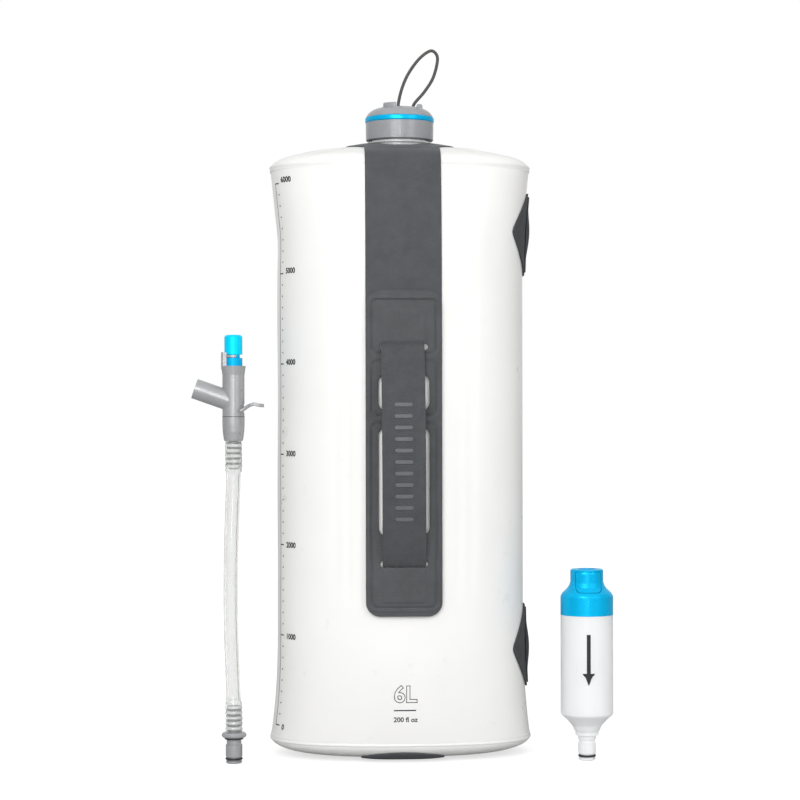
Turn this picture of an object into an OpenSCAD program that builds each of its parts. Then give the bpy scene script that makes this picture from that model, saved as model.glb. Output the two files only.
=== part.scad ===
// Six-litre hydration bladder: a standing film bag with a screw cap, carry straps and gear loops,
// a short drink hose with a tap, and an in-line hollow-fibre filter.
// Origin: centre of the base, on the ground. The front faces -Y and the gear loops are on +X.

/* [Bag] */
// Half of the bag's width at mid height
bag_half_w = 84.4; // [78:0.2:92]
// Half of the bag's depth at mid height
bag_half_d = 56; // [50:0.5:62]
// How far the bag is wider at its two welded rims, per side
rim_flare = 4.9; // [2:0.1:7]
// How far the bag is shallower at its two welded rims, per side
rim_tuck = 7; // [4:0.5:9]
// Height of the lower weld
low_rim_z = 12; // [10:1:16]
// Height of the upper weld
top_rim_z = 402; // [390:1:410]
// Rise of the domed top panel above the upper weld
dome_rise = 17; // [15:0.5:18]
// Thickness of the film
film = 0.9; // [0.7:0.1:1.2]

/* [Neck and cap] */
// Outer radius of the neck tube
neck_r = 18.9; // [18.5:0.1:19.2]
// Wall of the neck tube
neck_wall = 2.5; // [2:0.1:3]
// Top of the neck
neck_top_z = 438; // [437.5:0.1:438.2]
// Lead of the cap's thread
thread_lead = 4; // [3.8:0.1:4.2]
// Radius of the cap's skirt
cap_r = 23.2; // [22.8:0.1:23.4]
// Height of the cap's lower edge
cap_low_z = 421.6; // [421.4:0.1:422]
// Radius of the port through the cap
port_r = 6.3; // [6.2:0.05:6.4]
// Diameter of the pull cord
cord_d = 2.2; // [1.8:0.1:2.6]

/* [Straps] */
// Width of the main strap and of the handle pads
strap_w = 51; // [46:1:56]
// Width of the handle webbing
handle_w = 29; // [26:0.5:31]
// Lowest and highest edge of the handle pads
pad_z = [99, 316]; // [80:1:330]
// Lower and upper end of the handle webbing
handle_z = [134, 279]; // [130:1:285]
// How far the webbing stands away from its ends at mid height
handle_rise = 9; // [8:0.5:12]
// Width of the strap under the base
base_strap_w = 56; // [50:1:60]

/* [Gear loops] */
// Heights of the two gear loops
loop_z = [357, 74]; // [60:1:370]
// Height of a loop's diamond patch
loop_h = 57; // [50:1:60]
// Half of a loop's width round the side, as depth from its middle
loop_half_w = 29; // [24:1:32]

/* [Hose] */
// Place of the hose beside the bag
hose_at = [-113.6, -40]; // [-130:0.1:-20]
// Outer radius of the drink tube
tube_r = 4.75; // [4.7:0.05:4.8]
// Radius of the tap's barrel
tap_r = 7.4; // [7.2:0.1:7.8]
// Rise of the spout from the level
spout_tilt = 19.5; // [15:0.5:25]

/* [Filter] */
// Place of the filter beside the bag
filter_at = [124.2, -40]; // [-40:0.1:150]
// Outer radius of the filter's housing
housing_r = 17.7; // [17.2:0.1:18]
// Radius of the filter's inlet bore
inlet_r = 6.3; // [6.2:0.05:6.4]
// Travel of the release button
button_travel = 1.5; // [1:0.1:1.6]

/* [Hidden] */

$fn = 64;

// Colours
film_c = [0.95, 0.95, 0.93, 0.6];
strap_c = [0.33, 0.35, 0.36];
loop_c = [0.24, 0.25, 0.26];
grey_c = [0.56, 0.57, 0.59];
blue_c = [0.0, 0.68, 0.94];
black_c = [0.12, 0.12, 0.13];
clear_c = [0.9, 0.91, 0.93, 0.5];

// ---------- the bag's skin ----------

bag_n = 2.4;          // roundness of the bag's section
skin_steps = 48;      // points round a film ring
rim_reach = 75;       // how far the rims' flare reaches

function rim_share(z) =
  pow(max(0, 1 - min(z - low_rim_z, top_rim_z - z) / rim_reach), 2);
function half_w(z) = bag_half_w + rim_flare * rim_share(z);
function half_d(z) = bag_half_d - rim_tuck * rim_share(z);
function spow(v, p) = sign(v) * pow(abs(v), p);

// A point of the skin at height z and turn t, moved out by d
function skin(z, t, d) =
  let (
    a = half_w(z), b = half_d(z), c = cos(t), s = sin(t),
    nx = spow(c, 2 - 2 / bag_n) / a, ny = spow(s, 2 - 2 / bag_n) / b,
    k = d / norm([nx, ny])
  )
  [a * spow(c, 2 / bag_n) + nx * k, b * spow(s, 2 / bag_n) + ny * k, z];

// Depth of the skin's front at x and z
function skin_y(x, z) =
  half_d(z) * pow(max(0, 1 - pow(abs(x / half_w(z)), bag_n)), 1 / bag_n);
// Reach of the skin's side at y and z
function skin_x(y, z) =
  half_w(z) * pow(max(0, 1 - pow(abs(y / half_d(z)), bag_n)), 1 / bag_n);

rim_w = half_w(top_rim_z);
rim_d = half_d(top_rim_z);

// Height of the dome over x and y
function dome_level(x, y) =
  min(1, pow(pow(abs(x / rim_w), bag_n) + pow(abs(y / rim_d), bag_n), 1 / bag_n));
function dome_z(x, y) =
  top_rim_z + dome_rise * pow(1 - pow(dome_level(x, y), 2.6), 0.58);

function skin_ring(z, d) =
  [for (i = [0:skin_steps - 1]) skin(z, 360 * i / skin_steps, d)];

// Ring of the top panel: share 0 at the neck and 1 at the rim
function dome_ring(share, d) =
  [for (i = [0:skin_steps - 1])
    let (
      t = 360 * i / skin_steps,
      inner = [(neck_r + 0.1) * cos(t), (neck_r + 0.1) * sin(t)],
      rim = skin(top_rim_z, t, share == 1 ? d : 0),
      x = inner.x + (rim.x - inner.x) * share,
      y = inner.y + (rim.y - inner.y) * share
    )
    [x, y, dome_z(x, y) + (share == 1 ? 0 : d)]];

// Ring of the base panel: share 0 at the middle and 1 at the rim
base_flat_z = 1.7;
function base_ring(share, d) =
  [for (i = [0:skin_steps - 1])
    let (
      p = skin(low_rim_z, 360 * i / skin_steps, share == 1 ? -d : 0),
      k = max(0, (share - 0.7) / 0.3),
      z = base_flat_z + (low_rim_z - base_flat_z) * (1 - sqrt(max(0, 1 - k * k)))
    )
    [p.x * share, p.y * share, z + (share == 1 ? 0 : d)]];

// A solid between rings of equal counts: closed on itself, or capped at its ends
module ring_solid(rings, capped) {
  n = len(rings[0]);
  m = len(rings);
  last = capped ? m - 2 : m - 1;
  points = [for (r = rings) each r];
  sides = [for (j = [0:last], i = [0:n - 1])
    let (k = (j + 1) % m, i2 = (i + 1) % n)
    each [[j * n + i, k * n + i2, k * n + i], [j * n + i, j * n + i2, k * n + i2]]];
  caps = capped ? [[for (i = [n - 1:-1:0]) i], [for (i = [0:n - 1]) (m - 1) * n + i]] : [];
  polyhedron(points, concat(sides, caps), convexity = 8);
}

wall_levels = [low_rim_z, 18, 26, 40, 60, 88, 207, 326, 354, 374, 388, 396, top_rim_z];
module body_wall() {
  color(film_c) ring_solid(concat(
    [for (i = [len(wall_levels) - 1:-1:0]) skin_ring(wall_levels[i], 0)],
    [for (z = wall_levels) skin_ring(z, -film)]
  ), false);
}

dome_shares = [0, 0.2, 0.4, 0.58, 0.73, 0.85, 0.93, 0.975, 1];
module top_panel() {
  color(film_c) ring_solid(concat(
    [for (i = [len(dome_shares) - 1:-1:0]) dome_ring(dome_shares[i], -film)],
    [for (s = dome_shares) dome_ring(s, 0)]
  ), false);
}

base_shares = [0.05, 0.4, 0.7, 0.8, 0.88, 0.94, 0.98, 1];
module base_panel() {
  color(film_c) ring_solid(concat(
    [for (s = base_shares) base_ring(s, film)],
    [for (i = [len(base_shares) - 1:-1:0]) base_ring(base_shares[i], 0)]
  ), true);
}

// ---------- neck ----------

flange_r = 25;
flange_z = 414.9;
collar_r = 21.5;
collar_z = [419.4, 421];
thread_fit = 0.3;          // radial room between the two threads
thread_h = 1.7;            // height of the neck's thread
thread_steps = 32;         // sections in one turn
cap_bore_r = neck_r + thread_h + thread_fit;

// A thread: a ridge from radius r0 to r1, w0 and w1 wide there, from height z0
module thread(r0, r1, w0, w1, z0, turns) {
  n = round(turns * thread_steps);
  sections = [for (i = [0:n])
    let (
      t = 360 * i / thread_steps,
      z = z0 + thread_lead * i / thread_steps,
      grow = min(1, 0.15 + min(i, n - i) / 5),
      tip = r0 + (r1 - r0) * grow
    )
    [for (p = [[r0, -w0 / 2], [tip, -w1 / 2], [tip, w1 / 2], [r0, w0 / 2]])
      [p.x * cos(t), p.x * sin(t), z + p.y]]];
  if (r1 > r0) ring_solid(sections, true);
  else ring_solid([for (s = sections) [s[3], s[2], s[1], s[0]]], true);
}

thread_low_z = 425.5;
module neck() {
  color(clear_c) union() {
    difference() {
      union() {
        translate([0, 0, flange_z]) cylinder(r = flange_r, h = 1.2);
        translate([0, 0, flange_z]) cylinder(r = neck_r, h = neck_top_z - flange_z);
      }
      translate([0, 0, flange_z - 1]) cylinder(r = neck_r - neck_wall, h = 30);
    }
    thread(neck_r - 0.3, neck_r + thread_h, 2.6, 1.2, thread_low_z, 1.6);
  }
}

module neck_collar() {
  color(clear_c) rotate_extrude($fn = 96) difference() {
    translate([neck_r + 0.05, collar_z[0]]) square([collar_r - neck_r - 0.05, 1.6]);
    translate([collar_r, collar_z[1]]) rotate(45) square(0.8, center = true);
  }
}

// ---------- straps and pads ----------

strap_gap = 0.4;       // between the film and what is welded on it
strap_t = 1.2;
pad_t = 1.6;
pad_off = strap_gap + strap_t + 0.2;

// A sheet on the front or rear skin: d0 to d1 proud, over columns xs and levels zs
function face_grid(xs, zs, d) =
  [for (z = zs) [for (x = xs) [x, -skin_y(x, z) - d, z]]];

module grid_solid(near, far) {
  m = len(near);
  n = len(near[0]);
  ring = 2 * n;
  points = [for (j = [0:m - 1]) each concat(near[j], [for (i = [n - 1:-1:0]) far[j][i]])];
  sides = [for (j = [0:m - 2], i = [0:ring - 1])
    let (k = j + 1, i2 = (i + 1) % ring)
    each [[j * ring + i, k * ring + i, k * ring + i2], [j * ring + i, k * ring + i2, j * ring + i2]]];
  caps = [for (i = [0:n - 2])
    let (a = i, b = i + 1, c = ring - 2 - i, d = ring - 1 - i, top = (m - 1) * ring)
    each [[a, b, c], [a, c, d], [top + c, top + b, top + a], [top + d, top + c, top + a]]];
  polyhedron(points, concat(sides, caps), convexity = 8);
}

function spread_between(a, b, n) = [for (i = [0:n]) a + (b - a) * i / n];

// The strap over the dome's edge: 0 is at the neck patch and 1 is at the upper weld
patch_r = 38;
strap_low_z = 284;
strap_columns = spread_between(-0.5 * strap_w, 0.5 * strap_w, 8);
function over_edge(x, share, d) =
  let (
    y0 = sqrt(patch_r * patch_r - x * x) + 0.4,
    y1 = skin_y(x, top_rim_z),
    y = y0 + (y1 - y0) * sin(90 * share),
    z = share == 1 ? top_rim_z : dome_z(x, y),
    lean = 25 + 65 * share
  )
  [x, -y - d * sin(lean), z + d * cos(lean)];

module front_strap_sheet() {
  levels = [396, 385, 370, 350, 326, strap_low_z];
  grid_at = function (d) concat(
    [for (s = [0:0.2:1]) [for (x = strap_columns) over_edge(x, s, d)]],
    face_grid(strap_columns, levels, d)
  );
  grid_solid(grid_at(strap_gap), grid_at(strap_gap + strap_t));
}

module front_strap() {
  color(strap_c) front_strap_sheet();
}

module rear_strap() {
  color(strap_c) rotate(180) front_strap_sheet();
}

module neck_patch() {
  hole = collar_r + 0.3;
  rings = [for (d = [strap_gap + strap_t, strap_gap], k = (d > 1 ? [3, 2, 1, 0] : [0, 1, 2, 3]))
    [for (i = [0:35])
      let (r = hole + (patch_r - hole) * k / 3, x = r * cos(10 * i), y = r * sin(10 * i))
      [x, y, dome_z(x, y) + d]]];
  color(strap_c) ring_solid([for (i = [len(rings) - 1:-1:0]) rings[i]], false);
}

module rounded_rect(w, h, r) {
  union() {
    square([w - 2 * r, h], center = true);
    square([w, h - 2 * r], center = true);
    for (x = [-1, 1], y = [-1, 1])
      translate([x * (w / 2 - r), y * (h / 2 - r)]) circle(r = r, $fn = 32);
  }
}

window_w = 34;
windows_z = [[152.5, 224], [235.6, 259]];
slit_w = 31;
slit_h = 4.4;
pad_corner = 9;
pad_columns = spread_between(-0.5 * strap_w - 1, 0.5 * strap_w + 1, 10);
pad_levels = spread_between(pad_z[1] + 1, pad_z[0] - 1, 6);

module pad_outline() {
  difference() {
    translate([0, (pad_z[0] + pad_z[1]) / 2])
      rounded_rect(strap_w, pad_z[1] - pad_z[0], pad_corner);
    for (w = windows_z) translate([0, (w[0] + w[1]) / 2]) rounded_rect(window_w, w[1] - w[0], 6);
    for (z = handle_z) translate([0, z]) rounded_rect(slit_w, slit_h, 2);
  }
}

module front_pad_sheet() {
  intersection() {
    grid_solid(
      face_grid(pad_columns, pad_levels, pad_off),
      face_grid(pad_columns, pad_levels, pad_off + pad_t)
    );
    rotate([90, 0, 0]) linear_extrude(80) pad_outline();
  }
}

module front_pad() {
  color(strap_c) front_pad_sheet();
}

module rear_pad() {
  color(strap_c) rotate(180) front_pad_sheet();
}

// The webbing: an arch from slit to slit, with its ends through the pad
handle_t = 1.4;
handle_foot = bag_half_d + pad_off - 0.1;
function arch(share, d) =
  let (half = (handle_z[1] - handle_z[0]) / 2, s = 2 * share - 1)
  [handle_foot + 2.2 + handle_rise * pow(cos(90 * s), 0.8) + d,
   (handle_z[0] + handle_z[1]) / 2 + half * s];

module front_handle_band() {
  shares = spread_between(0, 1, 24);
  low = handle_z[0];
  high = handle_z[1];
  outline = concat(
    [[handle_foot, low - 0.7]],
    [for (s = shares) arch(s, handle_t) + [0, 0.7 * (2 * s - 1)]],
    [[handle_foot, high + 0.7], [handle_foot, high - 0.7]],
    [for (i = [24:-1:0]) arch(shares[i], 0) - [0, 0.7 * (2 * shares[i] - 1)]],
    [[handle_foot, low + 0.7]]
  );
  rotate([90, 0, -90]) linear_extrude(handle_w, center = true) polygon(outline);
}

module front_handle() {
  color(strap_c) front_handle_band();
}

module rear_handle() {
  color(strap_c) rotate(180) front_handle_band();
}

base_strap_t = 1.5;
base_strap_l = 84;
module base_strap() {
  color(strap_c) translate([0, 0, base_strap_t / 2])
    linear_extrude(base_strap_t, center = true) rounded_rect(base_strap_w, base_strap_l, 8);
}

// ---------- gear loops ----------

loop_gap = 0.3;
loop_t = 1;

// A sheet on the right side, wrapped round the skin
function side_grid(ys, zs, d) =
  [for (z = zs) [for (y = ys) [skin_x(y, z) + d, y, z]]];

module loop_patch(z) {
  ys = spread_between(-loop_half_w - 1, loop_half_w + 1, 10);
  zs = spread_between(z - loop_h / 2 - 1, z + loop_h / 2 + 1, 6);
  color(loop_c) intersection() {
    grid_solid(side_grid(ys, zs, loop_gap + loop_t), side_grid(ys, zs, loop_gap));
    translate([0, 0, z]) rotate([90, 0, 90]) linear_extrude(120) loop_outline(0);
  }
}

module loop_outline(inset) {
  half_w = loop_half_w - inset;
  half_h = loop_h / 2 - inset;
  intersection() {
    polygon([[-half_w, 4], [-half_w, -4], [-3, -half_h], [3, -half_h],
             [half_w, -4], [half_w, 4], [3, half_h], [-3, half_h]]);
    circle(r = max(half_w, half_h) - 0.5);
  }
}

// The tab stands off the patch at mid height, so that a cord passes behind it
tab_half_h = 22;
tab_stand_off = 2.2;
module loop_tab(z) {
  ys = spread_between(-9, 9, 4);
  zs = [for (i = [-5:5]) z + tab_half_h * i / 5];
  near = loop_gap + loop_t + 0.15;
  color(loop_c) grid_solid(tab_grid(ys, zs, z, near + loop_t), tab_grid(ys, zs, z, near));
}

function tab_grid(ys, zs, mid, d) =
  [for (z = zs) [for (y = ys)
    [skin_x(y, z) + d + tab_stand_off * pow(max(0, cos(90 * (z - mid) / 17)), 0.7), y, z]]];

module upper_loop_patch() { loop_patch(loop_z[0]); }
module upper_loop_tab() { loop_tab(loop_z[0]); }
module lower_loop_patch() { loop_patch(loop_z[1]); }
module lower_loop_tab() { loop_tab(loop_z[1]); }

// ---------- cap ----------

ring_z = [434, 437.7];
ring_r = 23.7;
ring_seat_r = 21.9;
ceiling_z = 439.9;
recess_z = 441.7;
recess_r = 16.2;
port_tube_r = 8.6;
port_low_z = 431;

module cap_shell() {
  color(grey_c) union() {
    rotate_extrude($fn = 96) polygon([
      [cap_bore_r, cap_low_z], [cap_r - 0.5, cap_low_z], [cap_r, cap_low_z + 0.5],
      [cap_r + 0.2, ring_z[0]], [ring_seat_r, ring_z[0]], [ring_seat_r, ring_z[1]],
      [cap_r, ring_z[1]], [22.4, 439.3], [21.2, 440.9], [19.4, 442.3], [17.6, 443.2],
      [recess_r, 443.7], [recess_r, recess_z], [port_r, recess_z], [port_r, port_low_z],
      [port_tube_r, port_low_z], [port_tube_r, ceiling_z], [cap_bore_r, ceiling_z]
    ]);
    thread(cap_bore_r + 0.3, neck_r + 0.4, 2.2, 0.9, thread_low_z - thread_lead / 2, 1.4);
  }
}

module cap_ring() {
  color(blue_c) rotate_extrude($fn = 96) difference() {
    translate([ring_seat_r + 0.02, ring_z[0] + 0.05])
      square([ring_r - ring_seat_r, ring_z[1] - ring_z[0] - 0.1]);
    for (z = ring_z) translate([ring_r, z]) rotate(45) square(1, center = true);
  }
}

module cap_gasket() {
  color(black_c) rotate_extrude($fn = 96)
    translate([neck_r - neck_wall - 0.4, neck_top_z + 0.1])
      square([4.1, ceiling_z - neck_top_z - 0.2]);
}

lug_r = [12.2, 15.9];
module port_plug() {
  color(grey_c) difference() {
    union() {
      rotate_extrude($fn = 96) polygon([
        [0, 432.4], [4.2, 432.4], [5.4, 433.4], [5.4, 434], [4.7, 434.2], [4.7, 436], [5.9, 436.2],
        [port_r - 0.15, 436.4], [port_r - 0.15, recess_z + 0.1], [recess_r - 0.2, recess_z + 0.1],
        [recess_r - 0.2, 443.7], [14, 444.3], [11, 444.8], [8, 445.1], [0, 445.3]
      ]);
      for (a = [0, 120, 240]) rotate(a) intersection() {
        rotate_extrude($fn = 96) polygon([
          [lug_r[0], 443], [lug_r[1], 443], [lug_r[1], 446.2], [15.2, 447], [13, 447],
          [lug_r[0], 446.2]
        ]);
        translate([0, 0, 445]) linear_extrude(6, center = true)
          polygon([[0, 0], [20, -6.2], [20, 6.2]]);
      }
    }
    for (p = cord_ends) translate([p.x, p.y, cord_route[0].z])
      cylinder(r = cord_d / 2 + 0.7, h = 5, $fn = 24);
  }
}

module port_oring() {
  color(black_c) rotate_extrude($fn = 64) translate([5.45, 435.1]) circle(r = 0.7, $fn = 24);
}

// The pull cord: a springy loop out of two holes in the plug
cord_ends = [[-1, -3], [9, 3]];
cord_route = [
  [-1, -3, 442.9], [-0.8, -3, 448], [1.5, -3, 457.5], [5.5, -2.5, 467], [11.5, -1.5, 476],
  [17.5, -0.5, 482], [22.5, 0, 484.2], [26, 0.5, 481], [26, 1, 475], [23, 2, 465],
  [17.2, 2.5, 456], [10.4, 3, 448], [9, 3, 442.9]
];

// Catmull-Rom curve through a route's points, n steps in each span
function along(p, i, t) =
  let (
    a = p[max(0, i - 1)], b = p[i], c = p[i + 1], d = p[min(len(p) - 1, i + 2)]
  )
  0.5 * (2 * b + (c - a) * t + (2 * a - 5 * b + 4 * c - d) * t * t
    + (3 * b - a - 3 * c + d) * t * t * t);
function curve(p, n) =
  concat([for (i = [0:len(p) - 2], k = [0:n - 1]) along(p, i, k / n)], [p[len(p) - 1]]);

// A tube swept along a line, its rings held square to a fixed side direction
module swept_tube(line, r, sides, side_way) {
  last = len(line) - 1;
  rings = [for (i = [0:last])
    let (
      run = line[min(last, i + 1)] - line[max(0, i - 1)],
      ahead = run / norm(run),
      across = cross(ahead, side_way),
      u = across / norm(across),
      v = cross(ahead, u)
    )
    [for (k = [0:sides - 1])
      line[i] + r * (u * cos(360 * k / sides) - v * sin(360 * k / sides))]];
  ring_solid(rings, true);
}

module cap_cord() {
  color(black_c) swept_tube(curve(cord_route, 2), cord_d / 2, 8, [0, 1, 0]);
}

// ---------- hose ----------

module at_hose() {
  translate([hose_at.x, hose_at.y, 0]) children();
}

oring_z = 2.9;
core_r = 2.1;          // half of the water way

// Barbs: five ribs that hold the tube, from radius 3.4 to r
function barb_ribs(z, step, r) =
  [for (i = [0:4]) each [[3.5, z + i * step], [r, z + i * step + 0.6], [3.5, z + (i + 1) * step]]];

module hose_plug() {
  ribs = barb_ribs(21.2, 3.5, 4.1);
  color(grey_c) at_hose() rotate_extrude($fn = 64) polygon(concat(
    [[core_r, 0], [4.8, 0], [5.3, 0.5], [5.3, 1.5], [4.6, 1.7], [4.6, 4.1], [5.6, 4.3],
     [5.6, 12.4], [4.9, 12.8], [4.9, 16.9], [7.6, 17.3], [8.3, 18.2], [8.3, 19.4], [7.4, 20.4],
     [3.5, 20.4]],
    ribs,
    [[3.2, 39], [core_r, 39]]
  ));
}

module hose_plug_oring() {
  color(black_c) at_hose() rotate_extrude($fn = 64)
    translate([5.22, oring_z]) circle(r = 0.62, $fn = 24);
}

module hose_plug_gasket() {
  color(black_c) at_hose() rotate_extrude($fn = 64)
    translate([4.95, 16]) square([1.35, 0.85]);
}

tube_route = [
  [0, 0, 20.6], [0, 0, 32], [-0.6, 0, 52], [-1.5, 0, 76], [-2, 0, 100], [-2, 0, 124],
  [-1.6, 0, 148], [-0.8, 0, 172], [0, 0, 196], [0, 0, 206], [0, 0, 215.4]
];
module hose_tube() {
  color(clear_c) at_hose() swept_tube(curve(tube_route, 1), tube_r + 0.05, 12, [0, 1, 0]);
}

module tap_collar() {
  color(grey_c) at_hose() rotate_extrude($fn = 64) polygon(concat(
    [[core_r, 196.5], [3.2, 196.5], [3.5, 197.4]],
    [for (i = [0:4]) each [[3.5, 197.4 + 3.5 * i + 0.2], [4.1, 197.4 + 3.5 * i + 2.9],
      [3.5, 197.4 + 3.5 * i + 3.4]]],
    [[3.5, 215.6], [6, 215.6], [6.5, 217], [7.2, 222], [7.45, 227], [7.45, 232],
     [6.2, 232], [6.2, 234.5], [core_r, 234.5]]
  ));
}

flare_z = [260, 266];
bracket_z = 275.2;
hook_end = 2;
spout_z = 241.7;
spout_l = 27.5;
spout_r = 6.8;
lever_pivot = [5.6, 236.6];
lever_slot_w = 5.2;
module tap_body() {
  color(grey_c) at_hose() difference() {
    union() {
      rotate_extrude($fn = 64) polygon([
        [0, 232.2], [tap_r, 232.2], [tap_r, flare_z[0]], [8.3, flare_z[1]], [0, flare_z[1]]
      ]);
      translate([0, 0, spout_z]) rotate([0, spout_tilt - 90, 0]) cylinder(r = spout_r, h = spout_l);
      // Bracket with a hook that goes round in the knob's groove
      intersection() {
        rotate_extrude($fn = 64) translate([6.35, 264]) square([1.95, bracket_z - 264]);
        translate([-12, 0, 268]) cube([18, 9, 20], center = true);
      }
      intersection() {
        rotate_extrude($fn = 64) translate([5, 271.7]) square([1.5, 1.5]);
        translate([hook_end - 10, 0, 272]) cube([20, 20, 5], center = true);
      }
    }
    translate([0, 0, 232.1]) cylinder(r = 6.3, h = 2.5);
    translate([0, 0, 234.5]) cylinder(r = 5.3, h = 24.2);
    translate([0, 0, 258.6]) cylinder(r = 6.25, h = 9);
    translate([0, 0, spout_z]) rotate([0, spout_tilt - 90, 0]) cylinder(r = 5.2, h = spout_l + 1);
    // Mouth of the lever's slot
    translate([7.2, 0, 237.4]) cube([5, lever_slot_w, 6.2], center = true);
  }
}

module tap_core() {
  color(black_c) at_hose() rotate_extrude($fn = 48) polygon([
    [core_r, 246], [4.9, 246], [5.1, 248], [5.1, 255.5], [4.4, 256], [core_r, 256]
  ]);
}

module tap_lever_pin() {
  color(grey_c) at_hose() translate([lever_pivot.x, 0, lever_pivot.y])
    rotate([90, 0, 0]) cylinder(r = 0.6, h = lever_slot_w - 0.05, center = true, $fn = 32);
}

// The lever: a bent flat bar on a cross pin
lever_w = 4.4;
module tap_lever() {
  color(grey_c) at_hose() rotate([90, 0, 0]) linear_extrude(lever_w, center = true)
    difference() {
      union() {
        translate(lever_pivot) circle(r = 1.25, $fn = 32);
        polygon([[5.2, 235.5], [8.2, 236.4], [11.8, 238.9], [15.5, 239.6], [19.8, 238.7],
          [20.7, 239.5], [20.2, 240.5], [15.6, 241.5], [11.2, 240.9], [8.2, 238.6], [5.2, 237.8]]);
      }
      translate(lever_pivot) circle(r = 0.65, $fn = 32);
    }
}

module flow_knob() {
  color(blue_c) at_hose() rotate_extrude($fn = 64) polygon([
    [0, 259], [5.9, 259], [6.05, 260], [6.05, 271.3], [4.4, 271.3], [4.4, 273.6], [6.05, 273.6],
    [6.05, 285.6], [4.8, 286.8], [0, 287]
  ]);
}

// ---------- filter ----------

module at_filter() {
  translate([filter_at.x, filter_at.y, 0]) children();
}

housing_z = [31.5, 98];
housing_wall = 1.6;
module filter_housing() {
  inner = housing_r - housing_wall;
  color(clear_c) at_filter() rotate_extrude($fn = 96) polygon([
    [core_r, 0], [5, 0], [5.5, 0.5], [5.5, 1.6], [4.6, 1.8], [4.6, 4], [5.9, 4.3], [5.9, 12],
    [5.2, 12.4], [5.2, 13.6], [6, 14], [6.2, 16.4], [7.8, 16.9], [7.8, 19], [8.6, 20.2],
    [10, 23.4], [13.9, 27.6], [16.6, 30], [17.5, 31], [housing_r, housing_z[0]],
    [housing_r, housing_z[1]],
    [inner, housing_z[1]], [inner, housing_z[0]], [11.5, 27], [7.6, 23], [5, 21], [core_r, 19]
  ]);
}

module filter_plug_oring() {
  color(black_c) at_filter() rotate_extrude($fn = 64)
    translate([5.3, oring_z]) circle(r = 0.7, $fn = 24);
}

bundle_r = 15.6;
module filter_fibres() {
  color("white") at_filter() translate([0, 0, 35.2]) cylinder(r = bundle_r, h = 57.6);
}

module filter_potting() {
  color([0.85, 0.87, 0.9]) at_filter() translate([0, 0, 92.9])
    cylinder(r = housing_r - housing_wall - 0.05, h = 5);
}

module filter_foot_disc() {
  color([0.85, 0.87, 0.9]) at_filter() translate([0, 0, 32.1]) difference() {
    cylinder(r = housing_r - housing_wall - 0.05, h = 3);
    for (i = [0:7]) rotate(45 * i) translate([9.5, 0, -1]) cylinder(r = 2.2, h = 5, $fn = 24);
  }
}

cap_top_z = 128.7;
inlet_depth = 12;
cap_neck_r = 11.06;
button_z = [113.5, 127.4];
button_w = 17.5;
button_fit = 0.25;
spring_z = 122;
module filter_cap() {
  color(blue_c) at_filter() difference() {
    rotate_extrude($fn = 96) polygon([
      [0, 98.1], [housing_r + 0.05, 98.1], [housing_r + 0.05, 110.4], [17.3, 111.6], [16.5, 112.8],
      [13.2, 116], [11.9, 118], [cap_neck_r, 120.5], [cap_neck_r, cap_top_z - 0.7],
      [cap_neck_r - 0.7, cap_top_z], [0, cap_top_z]
    ]);
    // Chamber under the neck, then the way up to the inlet
    rotate_extrude($fn = 64) polygon([[0, 98], [15, 98], [14.4, 108], [9, 113], [0, 113]]);
    cylinder(r = 3.2, h = 120);
    translate([0, 0, cap_top_z - inlet_depth]) cylinder(r = inlet_r, h = inlet_depth + 1);
    // Groove of the inlet's seal
    translate([0, 0, 118.2]) rotate_extrude($fn = 64) square([inlet_r + 0.7, 1.7]);
    button_block(button_w / 2, button_z[0], button_z[1], 7.7, button_back + button_travel + 0.1);
  }
}

// The pocket or the button: a block with round lower corners, in front of y and of radius r0
module button_block(half, z0, z1, r0, y) {
  difference() {
    translate([0, y, 0]) rotate([90, 0, 0]) linear_extrude(20) union() {
      translate([-half, z0 + 3]) square([2 * half, z1 - z0 - 3]);
      translate([3 - half, z0]) square([2 * half - 6, 4]);
      for (s = [-1, 1]) translate([s * (half - 3), z0 + 3]) circle(r = 3, $fn = 32);
    }
    cylinder(r = r0, h = 140);
  }
}

button_back = -4;
button_r = [9.3, 11.4];
module filter_button() {
  half = button_w / 2 - button_fit;
  color(blue_c) at_filter() difference() {
    intersection() {
      button_block(half, button_z[0] + button_fit, button_z[1] - button_fit, button_r[0],
        button_back);
      rotate_extrude($fn = 96) polygon([
        [7, 112], [15.2, 112], [15.2, 113.8], [12.6, 116.6], [button_r[1], 119.6],
        [button_r[1], 126], [button_r[1] - 0.6, 128], [7, 128]
      ]);
    }
    // Seat of the spring
    translate([0, -8.5, spring_z]) rotate([90, 0, 0]) cylinder(r = 3, h = 2.2);
  }
}

module filter_button_spring() {
  color("silver") at_filter() translate([0, -7.75, spring_z]) rotate([90, 0, 0])
    difference() {
      cylinder(r = 2.6, h = 1.35);
      translate([0, 0, -1]) cylinder(r = 2, h = 4);
    }
}

module filter_inlet_oring() {
  color(black_c) at_filter() translate([0, 0, 119.05]) rotate_extrude($fn = 64)
    translate([inlet_r - 0.02, 0]) circle(r = 0.65, $fn = 24);
}

module filter_cap_seal() {
  color(black_c) at_filter() translate([0, 0, 97.95]) difference() {
    cylinder(r = housing_r - housing_wall - 0.05, h = 0.1);
    translate([0, 0, -1]) cylinder(r = 15.1, h = 3);
  }
}

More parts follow.
